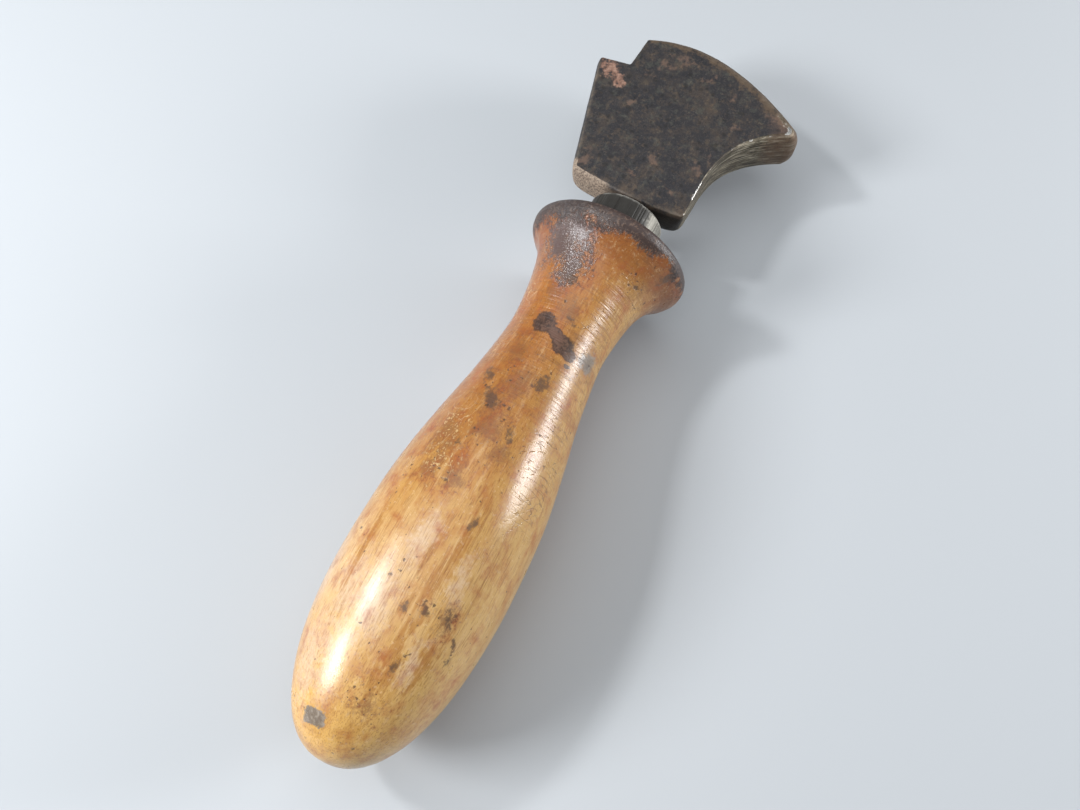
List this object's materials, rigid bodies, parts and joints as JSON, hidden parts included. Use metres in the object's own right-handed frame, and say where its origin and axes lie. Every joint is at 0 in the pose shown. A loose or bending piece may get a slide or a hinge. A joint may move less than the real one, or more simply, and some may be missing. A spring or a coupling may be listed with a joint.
{
  "type": "lino cutter",
  "caption": "Hand iron with a notched, beak-nosed forged steel head, a crimped steel ferrule and a fat turned wooden handle.",
  "frame": {"origin": "bottom centre of the tool's box, with the tool lying on its side on the lip of its handle", "axes": "+X from the butt of the handle to the top of the head, +Z out of the head's front cheek, the head's nose towards -Y"},
  "size_m": [0.1968, 0.0562, 0.0403],
  "materials": {
    "handle_wood": "amber varnished beech, glossy, scorched dark at the lip, scuffed and pitted",
    "ferrule_steel": "dull grey steel with crimped flutes",
    "tang_steel": "rough black forge scale",
    "head_steel": "dark grey-brown patina with rust patches, edges rubbed bright"
  },
  "bodies": {
    "root": {"handle": "handle_wood", "ferrule": "ferrule_steel", "tang": "tang_steel", "head": "head_steel"}
  },
  "joints": []
}
